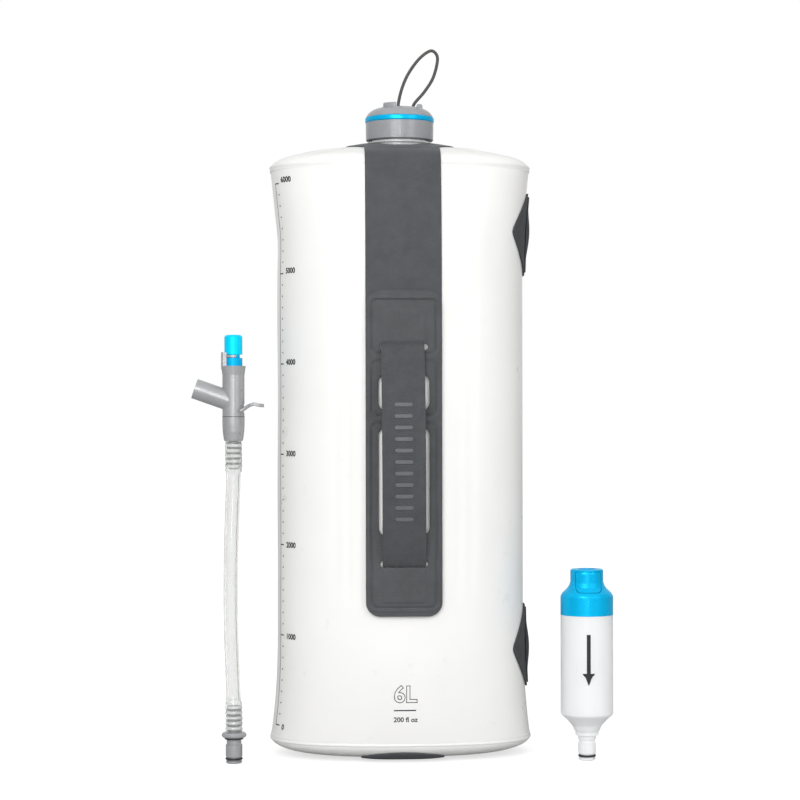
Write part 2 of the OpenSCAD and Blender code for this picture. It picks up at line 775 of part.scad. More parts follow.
body_wall();
top_panel();
base_panel();
neck();
neck_collar();
neck_patch();
front_strap();
rear_strap();
base_strap();
front_pad();
rear_pad();
front_handle();
rear_handle();
upper_loop_patch();
upper_loop_tab();
lower_loop_patch();
lower_loop_tab();
cap_shell();
cap_ring();
cap_gasket();
port_plug();
port_oring();
cap_cord();
hose_plug();
hose_plug_oring();
hose_plug_gasket();
hose_tube();
tap_collar();
tap_body();
tap_lever();
tap_lever_pin();
tap_core();
flow_knob();
filter_housing();
filter_plug_oring();
filter_fibres();
filter_potting();
filter_foot_disc();
filter_cap();
filter_cap_seal();
filter_inlet_oring();
filter_button();
filter_button_spring();
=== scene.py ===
"""Looks of the standing water bag with its cap, drink hose and filter.

Lengths are in millimetres until MM turns them into metres.
"""

import bmesh
import bpy
import math
import numpy as np
from mathutils import Matrix, Vector


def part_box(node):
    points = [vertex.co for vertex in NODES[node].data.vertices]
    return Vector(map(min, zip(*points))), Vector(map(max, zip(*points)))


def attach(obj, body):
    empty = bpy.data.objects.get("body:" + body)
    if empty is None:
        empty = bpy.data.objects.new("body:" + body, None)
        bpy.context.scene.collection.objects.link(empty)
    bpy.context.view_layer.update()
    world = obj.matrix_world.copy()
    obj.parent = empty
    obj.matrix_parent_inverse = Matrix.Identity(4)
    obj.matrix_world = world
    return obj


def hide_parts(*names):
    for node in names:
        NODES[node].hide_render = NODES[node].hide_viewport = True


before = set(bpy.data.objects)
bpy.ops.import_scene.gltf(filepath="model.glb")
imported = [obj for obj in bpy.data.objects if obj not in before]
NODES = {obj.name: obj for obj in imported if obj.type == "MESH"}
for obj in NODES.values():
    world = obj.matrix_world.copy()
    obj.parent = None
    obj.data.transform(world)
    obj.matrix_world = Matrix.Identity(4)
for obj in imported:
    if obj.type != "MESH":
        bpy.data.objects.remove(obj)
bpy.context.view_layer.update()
MM = 0.001


# ---------- camera ----------

CAMERA_YAW = math.radians(2.6)
CAMERA_ROLL = math.radians(0.1)
CAMERA_FAR = 1.55
CAMERA_HEIGHT = 0.243


def make_camera():
    data = bpy.data.cameras.new("camera")
    data.sensor_width, data.lens = 36.0, 101.0
    data.clip_start, data.clip_end = 0.05, 30.0
    cam = bpy.data.objects.new("camera", data)
    bpy.context.scene.collection.objects.link(cam)
    cam.location = (-CAMERA_FAR * math.sin(CAMERA_YAW), -CAMERA_FAR * math.cos(CAMERA_YAW), CAMERA_HEIGHT)
    level = Matrix.Rotation(-CAMERA_YAW, 4, "Z") @ Matrix.Rotation(math.radians(90), 4, "X")
    cam.rotation_euler = (level @ Matrix.Rotation(-CAMERA_ROLL, 4, "Z")).to_euler()
    bpy.context.scene.camera = cam


make_camera()


def box_mm(node):
    low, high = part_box(node)
    return np.array(low) / MM, np.array(high) / MM


# ---------- the bag's skin ----------

WALL_LOW, WALL_HIGH = box_mm("body_wall")
RIM_FLARE, RIM_TUCK, RIM_REACH = 4.9, 7.0, 75.0
HALF_W = WALL_HIGH[0] - RIM_FLARE
HALF_D = WALL_HIGH[1]
LOW_Z, TOP_Z = WALL_LOW[2], WALL_HIGH[2]
DOME_RISE = 17.0
DOME_SLACK = 1.7
WINDOWS_Z = ((152.5, 225.4), (235.6, 260.6))
HANDLE_Z = (134.0, 279.0)
BASE_FLAT = 0.6
BASE_RINGS = 20
FILM = 0.9
ROUND = 2.4
NECK_R = 18.9
BASE_Z = box_mm("base_panel")[0][2]


def smooth_step(v, a, b):
    s = np.clip((v - a) / (b - a), 0, 1)
    return s * s * (3 - 2 * s)


def rim_share(z):
    return np.maximum(0, 1 - np.minimum(z - LOW_Z, TOP_Z - z) / RIM_REACH) ** 2


def half_w(z):
    return HALF_W + RIM_FLARE * rim_share(z)


def half_d(z):
    return HALF_D - RIM_TUCK * rim_share(z)


def spow(v, p):
    return np.sign(v) * np.abs(v) ** p


def skin(z, t, d=0.0):
    """Point of the skin at height z and turn t in radians, moved out by d."""
    z, t, d = np.broadcast_arrays(np.asarray(z, float), np.asarray(t, float), np.asarray(d, float))
    a, b, c, s = half_w(z), half_d(z), np.cos(t), np.sin(t)
    nx, ny = spow(c, 2 - 2 / ROUND) / a, spow(s, 2 - 2 / ROUND) / b
    k = d / np.hypot(nx, ny)
    return np.stack([a * spow(c, 2 / ROUND) + nx * k, b * spow(s, 2 / ROUND) + ny * k, z], -1)


def skin_y(x, z):
    return half_d(z) * np.maximum(0, 1 - np.abs(x / half_w(z)) ** ROUND) ** (1 / ROUND)


def skin_x(y, z):
    return half_w(z) * np.maximum(0, 1 - np.abs(y / half_d(z)) ** ROUND) ** (1 / ROUND)


def dome_z(x, y):
    level = (np.abs(x / half_w(TOP_Z)) ** ROUND + np.abs(y / half_d(TOP_Z)) ** ROUND) ** (1 / ROUND)
    slack = DOME_SLACK * smooth_step(level, 0.24, 0.45) * (1 - smooth_step(level, 0.75, 1))
    return TOP_Z + DOME_RISE * (1 - np.minimum(1, level) ** 2.6) ** 0.58 - slack


# ---------- meshes ----------

def mesh_object(name, verts, faces, material, body, sharp=35):
    mesh = bpy.data.meshes.new(name)
    mesh.from_pydata((np.asarray(verts, float) * MM).tolist(), [], [list(map(int, f)) for f in faces])
    mesh.validate()
    work = bmesh.new()
    work.from_mesh(mesh)
    bmesh.ops.recalc_face_normals(work, faces=work.faces)
    work.to_mesh(mesh)
    work.free()
    return placed(name, mesh, material, body, sharp)


def placed(name, mesh, material, body, sharp=35):
    mesh.shade_smooth()
    mesh.set_sharp_from_angle(angle=math.radians(sharp))
    obj = bpy.data.objects.new(name, mesh)
    bpy.context.scene.collection.objects.link(obj)
    mesh.materials.clear()
    mesh.materials.append(material)
    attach(obj, body)
    return obj


def loft(name, rings, material, body, closed=True, sharp=35):
    """A solid between rings of one count.

    closed joins the last ring to the first. Otherwise the ends are capped.
    """
    rings = np.asarray(rings, float)
    m, n = rings.shape[:2]
    faces = []
    for j in range(m if closed else m - 1):
        k = (j + 1) % m
        for i in range(n):
            i2 = (i + 1) % n
            faces.append((j * n + i, j * n + i2, k * n + i2, k * n + i))
    if not closed:
        faces += [tuple(range(n))[::-1], tuple((m - 1) * n + i for i in range(n))]
    return mesh_object(name, rings.reshape(-1, 3), faces, material, body, sharp)


def bevelled(obj, width, segments=2):
    mod = obj.modifiers.new("bevel", "BEVEL")
    mod.width, mod.segments, mod.limit_method = width * MM, segments, "ANGLE"
    mod.angle_limit = math.radians(50)
    return obj


def slab(name, near, far, material, body, bevel=0.3):
    """A sheet with a near and a far face, each a grid of points."""
    near, far = np.asarray(near, float), np.asarray(far, float)
    m, n = near.shape[:2]
    at = lambda side, j, i: side * m * n + j * n + i
    faces = []
    for j in range(m - 1):
        for i in range(n - 1):
            for side in (0, 1):
                quad = [at(side, j, i), at(side, j, i + 1), at(side, j + 1, i + 1), at(side, j + 1, i)]
                faces.append(quad if side else quad[::-1])
    for j in range(m - 1):
        for i in (0, n - 1):
            faces.append([at(0, j, i), at(0, j + 1, i), at(1, j + 1, i), at(1, j, i)])
    for i in range(n - 1):
        for j in (0, m - 1):
            faces.append([at(0, j, i), at(1, j, i), at(1, j, i + 1), at(0, j, i + 1)])
    points = np.concatenate([near.reshape(-1, 3), far.reshape(-1, 3)])
    obj = mesh_object(name, points, faces, material, body)
    return bevelled(obj, bevel) if bevel else obj


def rounded_rect(cx, cy, w, h, r, steps=8):
    points = []
    for sx, sy, start in ((1, 1, 0), (-1, 1, 90), (-1, -1, 180), (1, -1, 270)):
        for i in range(steps + 1):
            a = math.radians(start + 90 * i / steps)
            x = cx + sx * (w / 2 - r) + r * math.cos(a)
            y = cy + sy * (h / 2 - r) + r * math.sin(a)
            points.append((x, y))
    return points


def plate(loops, thick, bevel, step_u, step_v):
    """A flat plate with bevelled edges and holes, cut into a grid. Returns its mesh."""
    curve = bpy.data.curves.new("plate", "CURVE")
    curve.dimensions, curve.fill_mode = "2D", "BOTH"
    curve.bevel_depth, curve.bevel_resolution = bevel, 2
    curve.extrude, curve.offset = thick / 2 - bevel, -bevel
    for loop in loops:
        spline = curve.splines.new("POLY")
        spline.points.add(len(loop) - 1)
        for p, (u, v) in zip(spline.points, loop):
            p.co = (u, v, 0, 1)
        spline.use_cyclic_u = True
    holder = bpy.data.objects.new("plate", curve)
    bpy.context.scene.collection.objects.link(holder)
    bpy.context.view_layer.update()
    mesh = bpy.data.meshes.new_from_object(holder.evaluated_get(bpy.context.evaluated_depsgraph_get()))
    bpy.data.objects.remove(holder)
    bpy.data.curves.remove(curve)
    work = bmesh.new()
    work.from_mesh(mesh)
    bmesh.ops.remove_doubles(work, verts=work.verts, dist=1e-4)
    flat = [(u, v) for loop in loops for u, v in loop]
    lo = [min(p[k] for p in flat) for k in (0, 1)]
    hi = [max(p[k] for p in flat) for k in (0, 1)]
    for k, step in ((0, step_u), (1, step_v)):
        count = max(1, int((hi[k] - lo[k]) / step))
        for i in range(1, count):
            co, no = [0, 0, 0], [0, 0, 0]
            co[k], no[k] = lo[k] + (hi[k] - lo[k]) * i / count, 1
            bmesh.ops.bisect_plane(work, geom=work.verts[:] + work.edges[:] + work.faces[:],
                                   plane_co=co, plane_no=no, dist=1e-5)
    work.to_mesh(mesh)
    work.free()
    return mesh


def mapped_plate(name, loops, thick, bevel, steps, warp, material, body):
    """A plate whose points (u, v, h) go to warp(u, v, h)."""
    mesh = plate(loops, thick, bevel, *steps)
    co = np.zeros(len(mesh.vertices) * 3)
    mesh.vertices.foreach_get("co", co)
    co = co.reshape(-1, 3)
    mesh.vertices.foreach_set("co", (warp(co[:, 0], co[:, 1], co[:, 2]) * MM).ravel())
    work = bmesh.new()
    work.from_mesh(mesh)
    bmesh.ops.recalc_face_normals(work, faces=work.faces)
    work.to_mesh(mesh)
    work.free()
    return placed(name, mesh, material, body, 50)


def smooth_line(points, steps):
    """Catmull-Rom curve through points."""
    p = [np.asarray(q, float) for q in points]
    out = []
    for i in range(len(p) - 1):
        a, b, c, d = p[max(0, i - 1)], p[i], p[i + 1], p[min(len(p) - 1, i + 2)]
        for k in range(steps):
            t = k / steps
            out.append(0.5 * (2 * b + (c - a) * t + (2 * a - 5 * b + 4 * c - d) * t * t
                              + (3 * b - a - 3 * c + d) * t ** 3))
    out.append(p[-1])
    return np.array(out)


def tube_rings(line, sides, radius, side_way=(0, 1, 0)):
    """Rings round a line; radius(share, angle) in mm."""
    line = np.asarray(line, float)
    run = np.gradient(line, axis=0)
    run /= np.linalg.norm(run, axis=1)[:, None]
    across = np.cross(run, np.array(side_way, float))
    across /= np.linalg.norm(across, axis=1)[:, None]
    up = np.cross(run, across)
    along = np.concatenate([[0], np.cumsum(np.linalg.norm(np.diff(line, axis=0), axis=1))])
    a = np.linspace(0, 2 * math.pi, sides, endpoint=False)
    r = radius(along[:, None], a[None, :])
    return (line[:, None, :] + r[..., None] * (across[:, None, :] * np.cos(a)[None, :, None]
                                               + up[:, None, :] * np.sin(a)[None, :, None])), along[-1]


# ---------- materials ----------

def node(tree, kind, **given):
    made = tree.nodes.new(kind)
    for key, value in given.items():
        if hasattr(made, key):
            setattr(made, key, value)
    return made


def feed(tree, socket, value):
    if isinstance(value, bpy.types.NodeSocket):
        tree.links.new(value, socket)
    else:
        socket.default_value = value


def calc(tree, how, a, b=0.0, c=None):
    n = node(tree, "ShaderNodeMath", operation=how)
    feed(tree, n.inputs[0], a)
    feed(tree, n.inputs[1], b)
    if c is not None:
        feed(tree, n.inputs[2], c)
    return n.outputs[0]


def place_of(tree):
    """Coordinates on the object, and its x, y and z, in millimetres."""
    coords = node(tree, "ShaderNodeTexCoord").outputs["Object"]
    scaled = node(tree, "ShaderNodeVectorMath", operation="SCALE")
    feed(tree, scaled.inputs[0], coords)
    scaled.inputs["Scale"].default_value = 1 / MM
    split = node(tree, "ShaderNodeSeparateXYZ")
    feed(tree, split.inputs[0], scaled.outputs[0])
    return scaled.outputs[0], split.outputs


def noise(tree, where, size, detail=3.0, rough=0.5, stretch=(1, 1, 1)):
    """Noise whose features are about size millimetres."""
    if stretch != (1, 1, 1):
        m = node(tree, "ShaderNodeMapping")
        feed(tree, m.inputs["Vector"], where)
        m.inputs["Scale"].default_value = stretch
        where = m.outputs[0]
    n = node(tree, "ShaderNodeTexNoise")
    feed(tree, n.inputs["Vector"], where)
    n.inputs["Scale"].default_value = 1 / size
    n.inputs["Detail"].default_value = detail
    n.inputs["Roughness"].default_value = rough
    return n.outputs["Fac"]


def spread(tree, value, low, high, out_low, out_high):
    n = node(tree, "ShaderNodeMapRange", clamp=True)
    feed(tree, n.inputs["Value"], value)
    for key, v in (("From Min", low), ("From Max", high), ("To Min", out_low), ("To Max", out_high)):
        n.inputs[key].default_value = v
    return n.outputs["Result"]


def blend_colour(tree, share, a, b):
    n = node(tree, "ShaderNodeMix", data_type="RGBA")
    feed(tree, n.inputs["Factor"], share)
    feed(tree, n.inputs[6], a if isinstance(a, bpy.types.NodeSocket) else (*a, 1))
    feed(tree, n.inputs[7], b if isinstance(b, bpy.types.NodeSocket) else (*b, 1))
    return n.outputs[2]


def bumped(tree, height, far, normal=None):
    n = node(tree, "ShaderNodeBump")
    n.inputs["Distance"].default_value = far * MM
    n.inputs["Strength"].default_value = 1.0
    feed(tree, n.inputs["Height"], height)
    if normal is not None:
        feed(tree, n.inputs["Normal"], normal)
    return n.outputs["Normal"]


def weave(tree, u, v, pitch):
    """Height of a plain weave with threads along u and v."""
    k = 2 * math.pi / pitch
    su = calc(tree, "SINE", calc(tree, "MULTIPLY", u, k))
    sv = calc(tree, "SINE", calc(tree, "MULTIPLY", v, k))
    half_u = calc(tree, "SINE", calc(tree, "MULTIPLY", u, k / 2))
    half_v = calc(tree, "SINE", calc(tree, "MULTIPLY", v, k / 2))
    return calc(tree, "ADD", calc(tree, "MULTIPLY", calc(tree, "MULTIPLY", half_u, half_v), 0.6),
                calc(tree, "MULTIPLY", calc(tree, "ADD", su, sv), 0.25))


def scaled_colour(colour, k):
    return tuple(min(1, c * k) for c in colour)


def surface(name, colour, rough, vary=0.1, size=9.0, grain=0.5, grain_far=0.02, sheen=0.0, coat=0.0,
            subsurface=0.0, transmission=0.0, translucent=0.0, clear=0.0, ior=1.46, weave_on=None, pitch=1.1,
            weave_far=0.12, stretch=(1, 1, 1), wear=0.0, specular=0.5, metallic=0.0):
    """A procedural finish with variation of millimetre scale."""
    material = bpy.data.materials.new(name)
    material.use_nodes = True
    tree = material.node_tree
    bsdf = tree.nodes["Principled BSDF"]
    where, xyz = place_of(tree)
    broad = noise(tree, where, size, 3, 0.55, stretch)
    fine = noise(tree, where, grain, 2, 0.6)
    tone = blend_colour(tree, spread(tree, broad, 0.3, 0.7, 0, 1), scaled_colour(colour, 1 - vary),
                        scaled_colour(colour, 1 + vary))
    specks = spread(tree, fine, 0.35, 0.65, 0, 0.35)
    tone = blend_colour(tree, specks, tone, scaled_colour(colour, 1 - 1.6 * vary))
    normal = bumped(tree, fine, grain_far)
    if weave_on:
        axes = {"x": xyz[0], "y": xyz[1], "z": xyz[2]}
        threads = weave(tree, axes[weave_on[0]], axes[weave_on[1]], pitch)
        normal = bumped(tree, threads, weave_far, normal)
        # Painted light: raised threads are coloured lighter than the hollows between them, a painted
        # highlight on thread tops.
        painted_thread_light = spread(tree, threads, -0.7, 0.7, 0, 0.45)
        tone = blend_colour(tree, painted_thread_light, tone, scaled_colour(colour, 1.35))
    if wear:
        geometry = node(tree, "ShaderNodeNewGeometry")
        edge = spread(tree, geometry.outputs["Pointiness"], 0.52, 0.62, 0, wear)
        edge = calc(tree, "MULTIPLY", edge, spread(tree, noise(tree, where, 2.5, 3), 0.4, 0.6, 0.2, 1))
        tone = blend_colour(tree, edge, tone, scaled_colour(tuple(c * 0.6 + 0.25 for c in colour), 1.0))
    feed(tree, bsdf.inputs["Base Color"], tone)
    feed(tree, bsdf.inputs["Roughness"], spread(tree, noise(tree, where, size * 0.4, 4), 0.3, 0.7,
                                                max(0.02, rough - 0.07), min(1, rough + 0.07)))
    feed(tree, bsdf.inputs["Normal"], normal)
    bsdf.inputs["IOR"].default_value = ior
    bsdf.inputs["Sheen Weight"].default_value = sheen
    bsdf.inputs["Coat Weight"].default_value = coat
    bsdf.inputs["Subsurface Weight"].default_value = subsurface
    bsdf.inputs["Subsurface Radius"].default_value = (0.004, 0.004, 0.004)
    bsdf.inputs["Subsurface Scale"].default_value = 1.0
    bsdf.inputs["Transmission Weight"].default_value = transmission
    bsdf.inputs["Specular IOR Level"].default_value = specular
    bsdf.inputs["Metallic"].default_value = metallic
    out = tree.nodes["Material Output"]
    if translucent or clear:
        other = node(tree, "ShaderNodeBsdfTranslucent" if translucent else "ShaderNodeBsdfTransparent")
        feed(tree, other.inputs["Color"], tone if translucent else (0.97, 0.98, 0.98, 1))
        mix = node(tree, "ShaderNodeMixShader")
        mix.inputs[0].default_value = translucent or clear
        feed(tree, mix.inputs[1], bsdf.outputs[0])
        feed(tree, mix.inputs[2], other.outputs[0])
        feed(tree, out.inputs["Surface"], mix.outputs[0])
    return material


FILM_M = surface("milky_film", (0.905, 0.902, 0.885), 0.34, vary=0.012, size=38, grain=0.9, grain_far=0.012,
                 translucent=0.14, coat=0.1)
WELD_M = surface("welded_film", (0.84, 0.84, 0.825), 0.34, vary=0.02, size=6, grain=0.8, grain_far=0.03,
                 translucent=0.1)
STRAP_M = surface("strap_weave", (0.048, 0.052, 0.058), 0.62, vary=0.17, size=14, grain=0.8, grain_far=0.04,
                  sheen=0.12, weave_on="xz", pitch=0.8, weave_far=0.10)
PATCH_M = surface("patch_weave", (0.05, 0.054, 0.06), 0.62, vary=0.09, size=14, grain=0.35, grain_far=0.04,
                  sheen=0.1, weave_on="xy", pitch=0.8, weave_far=0.08)
PAD_M = surface("pad_weave", (0.05, 0.054, 0.059), 0.6, vary=0.17, size=11, grain=0.8, grain_far=0.04,
                sheen=0.12, weave_on="xz", pitch=0.9, weave_far=0.09)
HANDLE_M = surface("handle_weave", (0.044, 0.048, 0.053), 0.64, vary=0.17, size=9, grain=0.8, grain_far=0.04,
                   sheen=0.14, weave_on="xz", pitch=1.2, weave_far=0.16)
LOOP_M = surface("loop_weave", (0.04, 0.043, 0.047), 0.7, vary=0.12, size=9, grain=0.35, grain_far=0.04,
                 sheen=0.0, weave_on="yz", pitch=0.9, weave_far=0.09)
GRIP_M = surface("grip_rubber", (0.10, 0.104, 0.112), 0.5, vary=0.08, size=4, grain=0.4, grain_far=0.03)
GREY_M = surface("grey_plastic", (0.285, 0.295, 0.31), 0.3, vary=0.05, size=12, grain=0.35, grain_far=0.015,
                 coat=0.12, wear=0.1)
TAP_M = surface("satin_plastic", (0.36, 0.365, 0.375), 0.34, vary=0.05, size=12, grain=0.35, grain_far=0.015,
                metallic=0.32)
BARB_M = surface("barb_plastic", (0.2, 0.21, 0.225), 0.36, vary=0.05, size=6, grain=0.35, grain_far=0.015)
BLUE_M = surface("blue_plastic", (0.0, 0.45, 0.80), 0.33, vary=0.05, size=12, grain=0.35, grain_far=0.012,
                 specular=0.15, metallic=0.35)
KNOB_M = surface("knob_plastic", (0.0, 0.66, 0.95), 0.4, vary=0.05, size=10, grain=0.35, grain_far=0.012,
                 specular=0.15, metallic=0.3)
# A darker copy of the knob's blue: painted shade for the knob's lower part under the hook.
KNOB_SHADED_M = surface("knob_plastic_painted_shade", (0.0, 0.42, 0.78), 0.4, vary=0.05, size=10, grain=0.35,
                     grain_far=0.012, specular=0.15, metallic=0.3)
BLACK_M = surface("seal_rubber", (0.018, 0.018, 0.02), 0.48, vary=0.15, size=3, grain=0.3, grain_far=0.02)
CORD_M = surface("braided_cord", (0.075, 0.072, 0.07), 0.7, vary=0.25, size=1.2, grain=0.25, grain_far=0.05,
                 sheen=0.15)
TUBE_M = surface("clear_tube", (0.90, 0.905, 0.90), 0.1, vary=0.01, size=30, grain=2.5, grain_far=0.001,
                 transmission=0.9, ior=1.38)
CLEAR_M = surface("clear_plastic", (0.9, 0.91, 0.92), 0.2, vary=0.02, size=15, grain=0.8, grain_far=0.01,
                  transmission=0.5, ior=1.45)
# Near-white material for the rings between the barbs: a painted highlight of the clear tube where it necks
# between them.
TUBE_SHINE_M = surface("tube_painted_highlight", (0.97, 0.97, 0.965), 0.3, vary=0.02, size=4, grain=0.6,
                       grain_far=0.01, translucent=0.25)
FROST_M = surface("frosted_plastic", (0.97, 0.975, 0.98), 0.42, vary=0.015, size=5, grain=0.5, grain_far=0.02,
                  translucent=0.3, stretch=(1, 1, 0.06), transmission=0.12)
FIBRE_M = surface("fibres", (0.86, 0.87, 0.87), 0.7, vary=0.1, size=1.2, grain=0.6, grain_far=0.1,
                  stretch=(1, 1, 0.03))
POTTING_M = surface("potting", (0.7, 0.72, 0.74), 0.4, vary=0.05, size=6, grain=0.5, grain_far=0.02)
STEEL_M = surface("steel", (0.5, 0.5, 0.5), 0.3, vary=0.1, size=3, grain=0.3, grain_far=0.01, metallic=1.0)
INK_M = surface("print_ink", (0.014, 0.014, 0.016), 0.6, vary=0.1, size=3, grain=0.4, grain_far=0.01)

CAD_LOOKS = {
    "neck": CLEAR_M, "neck_collar": CLEAR_M, "cap_shell": GREY_M, "cap_ring": BLUE_M, "cap_gasket": BLACK_M,
    "port_plug": GREY_M, "port_oring": BLACK_M, "hose_plug": TAP_M, "hose_plug_oring": BLACK_M,
    "hose_plug_gasket": BLACK_M, "tap_collar": TAP_M, "tap_body": TAP_M, "tap_lever": TAP_M,
    "tap_lever_pin": STEEL_M, "tap_core": BLACK_M, "flow_knob": KNOB_M, "filter_housing": FROST_M,
    "filter_plug_oring": BLACK_M, "filter_fibres": FIBRE_M, "filter_potting": POTTING_M,
    "filter_foot_disc": POTTING_M, "filter_cap": BLUE_M, "filter_cap_seal": BLACK_M,
    "filter_inlet_oring": BLACK_M, "filter_button": BLUE_M, "filter_button_spring": STEEL_M,
}
for part, look in CAD_LOOKS.items():
    NODES[part].data.materials.clear()
    NODES[part].data.materials.append(look)

# Painted shade: faces of the knob below this height take the darker blue copy, standing for the shade under
# the hook.
KNOB_SHADE_SPLIT = 272.4
knob_mesh = NODES["flow_knob"].data
knob_mesh.materials.append(KNOB_SHADED_M)
for face in knob_mesh.polygons:
    face.material_index = int((NODES["flow_knob"].matrix_world @ face.center).z < KNOB_SHADE_SPLIT * MM)


# ---------- film ----------

RING_STEPS = 320
RING_T = np.linspace(0, 2 * math.pi, RING_STEPS, endpoint=False)


def film_give(x, y, z):
    """How far the film moves outwards: pad-side creases, a dent on the left, and swells in the windows."""
    beside = np.exp(-((np.abs(x) - 37) / 2.6) ** 2) + 0.7 * np.exp(-((np.abs(x) - 45) / 3.5) ** 2)
    along = smooth_step(z, 96, 130) * (1 - smooth_step(z, 300, 330))
    dent = np.exp(-(((z - 352) / 16) ** 2)) * smooth_step(-x, 70, 84)
    slow = np.sin(z / 23 + x / 31) * np.sin(x / 17 + y / 29 + z / 71)
    free = smooth_step(np.abs(x), 28, 40) * (1 - smooth_step(x, 60, 68))
    ends = smooth_step(z, LOW_Z, LOW_Z + 30) * (1 - smooth_step(z, TOP_Z - 30, TOP_Z))
    bulge = sum(smooth_step(z, a + 1, a + 7) * (1 - smooth_step(z, b - 7, b - 1)) for a, b in WINDOWS_Z)
    bulge = bulge + sum(np.exp(-((z - a) / 2.6) ** 2) for a in HANDLE_Z)
    bulge = bulge * (1 - smooth_step(np.abs(x), 14, 18.5))
    return 1.5 * bulge - 0.55 * beside * along - 0.8 * dent + 0.22 * slow * free * ends


def wall_ring(z, d):
    p = skin(z, RING_T)
    give = film_give(p[:, 0], p[:, 1], p[:, 2])
    return skin(z, RING_T, d + give)


def make_wall():
    low, high = LOW_Z + 40, TOP_Z - 60
    levels = np.concatenate([np.linspace(LOW_Z, low, 16)[:-1], np.linspace(low, high, 90)[:-1],
                             np.linspace(high, TOP_Z, 24)])
    rings = [wall_ring(z, 0) for z in levels[::-1]] + [wall_ring(z, -FILM) for z in levels]
    obj = loft("film_wall", rings, FILM_M, "bag", True, 60)
    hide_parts("body_wall")
    return obj


def dome_ring(share, d):
    rim = skin(TOP_Z, RING_T, d if share == 1 else 0)
    inner = np.stack([(NECK_R + 0.1) * np.cos(RING_T), (NECK_R + 0.1) * np.sin(RING_T)], -1)
    xy = inner + (rim[:, :2] - inner) * share
    x, y = xy[:, 0], xy[:, 1]
    folds = 0.8 * np.sin(5 * RING_T + 1.1) * np.sin(11 * RING_T) * math.sin(math.pi * share) ** 2
    free = smooth_step(np.abs(x), 27, 42) * smooth_step(np.hypot(x, y), 40, 52)
    return np.stack([x, y, dome_z(x, y) + (0 if share == 1 else d + folds * free)], -1)


def make_dome():
    shares = [math.sin(math.pi / 2 * i / 30) for i in range(31)]
    shares[-1] = 1
    rings = [dome_ring(s, 0) for s in shares[::-1]] + [dome_ring(s, -FILM) for s in shares]
    obj = loft("film_top", rings, FILM_M, "bag", True, 60)
    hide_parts("top_panel")
    return obj


def base_ring(share, d):
    p = skin(LOW_Z, RING_T, -d if share == 1 else 0)
    k = max(0.0, (share - BASE_FLAT) / (1 - BASE_FLAT))
    z = BASE_Z + (LOW_Z - BASE_Z) * (1 - math.sqrt(max(0.0, 1 - k * k)))
    z += 0 if share == 1 else d
    return np.stack([p[:, 0] * share, p[:, 1] * share, np.full(RING_STEPS, z)], -1)


def make_base():
    curve = [math.sin(math.pi / 2 * i / BASE_RINGS) for i in range(BASE_RINGS + 1)]
    shares = [0.02, 0.2, 0.35, 0.45] + [BASE_FLAT + (1 - BASE_FLAT) * c for c in curve]
    shares[-1] = 1
    rings = [base_ring(s, FILM) for s in shares] + [base_ring(s, 0) for s in shares[::-1]]
    obj = loft("film_base", rings, FILM_M, "bag", False, 60)
    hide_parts("base_panel")
    return obj


def make_weld(name, z_mid, up):
    """The welded lip where two film panels meet: a thin flat ridge with a fine rib."""
    profile = [(-0.5, -2.6), (0.12, -2.4), (0.25, -1.4), (0.14, -0.9), (0.35, -0.4), (0.5, 0.3), (0.38, 0.9),
               (0.1, 1.1), (-0.5, 1.0)]
    rings = [skin(z_mid, RING_T, d) + [0, 0, up * z] for d, z in profile]
    return loft(name, rings, WELD_M, "bag", True, 60)


make_wall()
make_dome()
make_base()
make_weld("weld_top", TOP_Z, 1)
make_weld("weld_low", LOW_Z, -1)


# ---------- straps and pads ----------

STRAP_W = 51.0
STRAP_COLUMNS = 61
STRAP_END_Z = 284
STRAP_GAP, STRAP_T = 0.4, 1.2
PAD_T = 1.6
PAD_OFF = STRAP_GAP + STRAP_T + 0.2
PATCH_R = 38.0
PATCH_HOLE_R = 21.8
PATCH_GAP, PATCH_T = 0.15, 0.9
PAD_Z = (99.0, 316.0)
WINDOW_W = 34.0
SLIT_W, SLIT_H = 32, 4.4
HANDLE_W = 29.0
HANDLE_T = 1.4
HANDLE_COLUMNS = 41
HANDLE_LEAN = -0.9
GRIP_COUNT = 11
GRIP_LOW_Z, GRIP_STEP = 164, 7.6
GRIP_W, GRIP_H = 12, 2.6
HANDLE_FOOT = HALF_D + PAD_OFF - 0.1
HANDLE_RISE = 9.0


def turned(points, rear):
    points = np.asarray(points, float)
    return points * [-1, -1, 1] if rear else points


def make_strap(name, rear, stands_for):
    columns = np.linspace(-STRAP_W / 2, STRAP_W / 2, STRAP_COLUMNS)
    rib = 0.12 * np.exp(-((np.abs(columns) - STRAP_W / 2 + 1.2) / 0.5) ** 2)
    def grid(d, ribbed):
        rows = []
        for s in np.linspace(0, 1, 26):
            y0 = np.sqrt(PATCH_R ** 2 - columns ** 2) + 0.4
            y1 = skin_y(columns, TOP_Z)
            y = y0 + (y1 - y0) * math.sin(math.pi / 2 * s)
            z = np.full(STRAP_COLUMNS, TOP_Z) if s == 1 else dome_z(columns, y)
            lean = math.radians(25 + 65 * s)
            dd = d + (rib if ribbed else 0)
            rows.append(np.stack([columns, -y - dd * math.sin(lean), z + dd * math.cos(lean)], -1))
        for z in np.linspace(TOP_Z, STRAP_END_Z, 60)[1:]:
            dd = d + (rib if ribbed else 0)
            rows.append(np.stack([columns, -skin_y(columns, z) - dd, np.full(STRAP_COLUMNS, z)], -1))
        return turned(rows, rear)
    near, far = grid(STRAP_GAP, False), grid(STRAP_GAP + STRAP_T, True)
    obj = slab(name, near, far, STRAP_M, "bag", 0.35)
    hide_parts(stands_for)


make_strap("strap_front", False, "front_strap")
make_strap("strap_rear", True, "rear_strap")


